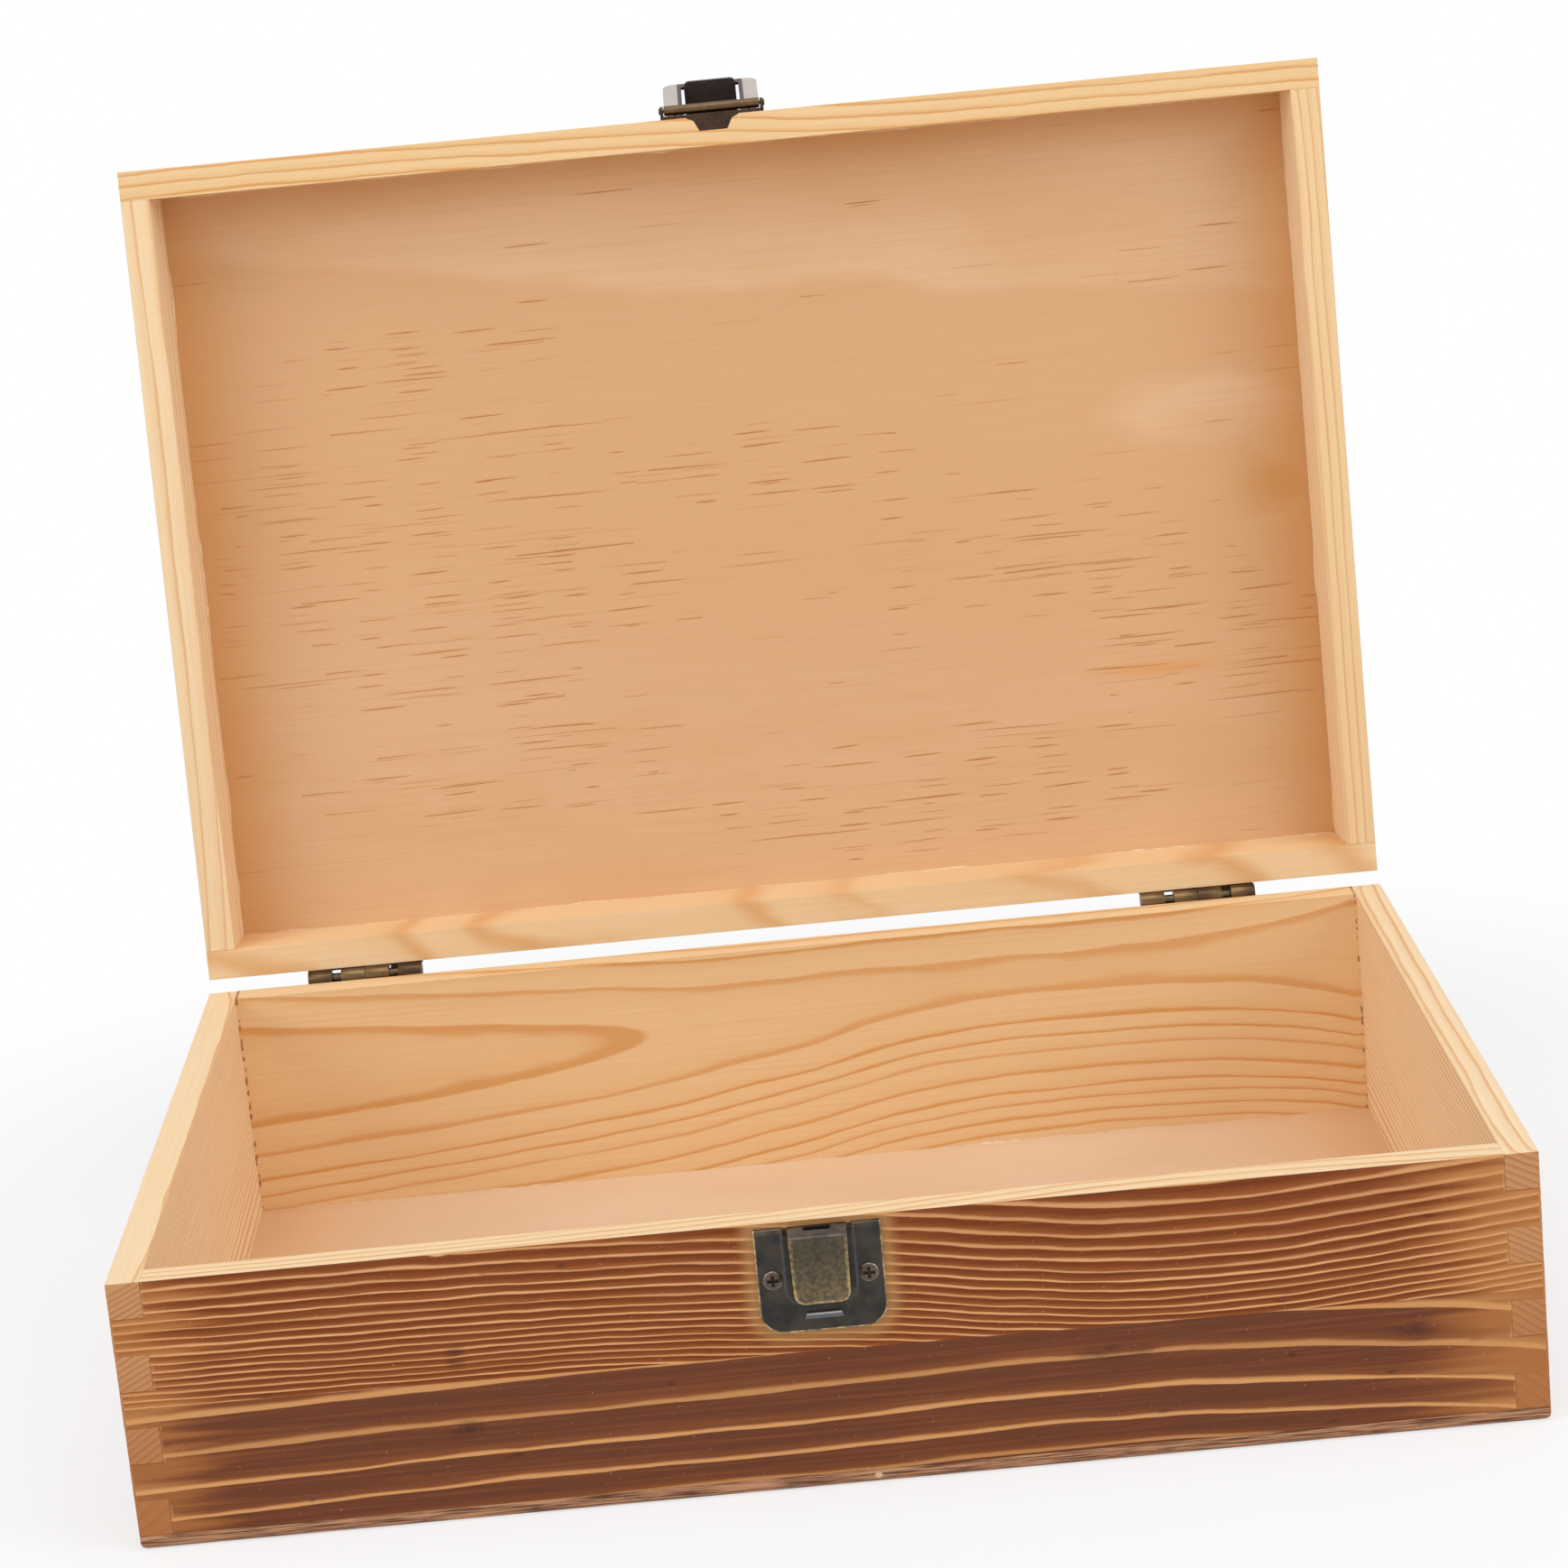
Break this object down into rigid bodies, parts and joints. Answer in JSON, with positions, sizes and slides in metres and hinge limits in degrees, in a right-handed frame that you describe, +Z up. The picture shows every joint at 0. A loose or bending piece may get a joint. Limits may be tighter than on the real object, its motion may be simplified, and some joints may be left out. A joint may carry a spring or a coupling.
{
  "type": "wooden storage box",
  "caption": "Shallow finger-jointed wooden box with a hinged lid standing open and a bronze hasp latch on the front.",
  "frame": {"origin": "centre of the box's underside, on the surface it stands on", "axes": "+X to the right along the front, +Y from the latch to the hinges, +Z up"},
  "size_m": [0.33, 0.2879, 0.302],
  "materials": {
    "front_wall": "scorched pine outside, raw pine inside and on the rim",
    "back_wall": "scorched pine outside, raw pine inside and on the rim",
    "left_wall": "scorched pine outside, raw pine inside and on the rim",
    "right_wall": "scorched pine outside, raw pine inside and on the rim",
    "bottom_panel": "raw plywood inside, scorched edge",
    "lid_front_rail": "scorched pine outside, raw pine inside and on the rim",
    "lid_back_rail": "scorched pine outside, raw pine inside and on the rim",
    "lid_left_rail": "scorched pine outside, raw pine inside and on the rim",
    "lid_right_rail": "scorched pine outside, raw pine inside and on the rim",
    "lid_panel": "raw plywood inside, scorched outside",
    "keeper_plate": "antique bronze, worn to brass on the edges and the tongue",
    "hasp_plate": "antique bronze",
    "latch_flap": "antique bronze, polished",
    "hook_plate": "antique bronze, dark",
    "hinge_bronze": "antique bronze",
    "pin_steel": "dark steel",
    "screw_steel": "bronzed steel"
  },
  "bodies": {
    "box": {"front_wall": "front_wall", "back_wall": "back_wall", "left_wall": "left_wall", "right_wall": "right_wall", "bottom_panel": "bottom_panel", "keeper_plate": "keeper_plate", "keeper_screws": "screw_steel", "left_hinge_box_leaf": "hinge_bronze", "right_hinge_box_leaf": "hinge_bronze", "left_hinge_box_screws": "screw_steel", "right_hinge_box_screws": "screw_steel", "left_hinge_pin": "pin_steel", "right_hinge_pin": "pin_steel"},
    "lid": {"lid_front_rail": "lid_front_rail", "lid_back_rail": "lid_back_rail", "lid_left_rail": "lid_left_rail", "lid_right_rail": "lid_right_rail", "lid_panel": "lid_panel", "hasp_plate": "hasp_plate", "hasp_screws": "screw_steel", "latch_pin": "pin_steel", "left_hinge_lid_leaf": "hinge_bronze", "right_hinge_lid_leaf": "hinge_bronze", "left_hinge_lid_screws": "screw_steel", "right_hinge_lid_screws": "screw_steel"},
    "flap": {"latch_flap": "latch_flap", "hook_plate": "hook_plate"}
  },
  "joints": [
    {"name": "lid_hinge", "type": "hinge", "parent": "box", "child": "lid", "pos_m": [0, 0.11575, 0.0668], "axis": [1, 0, 0], "range_deg": [0, 96.5]},
    {"name": "latch_pivot", "type": "hinge", "parent": "lid", "child": "flap", "pos_m": [-0.0011, 0.144, 0.29623], "axis": [1, 0, 0], "range_deg": [0, 161.5]}
  ]
}
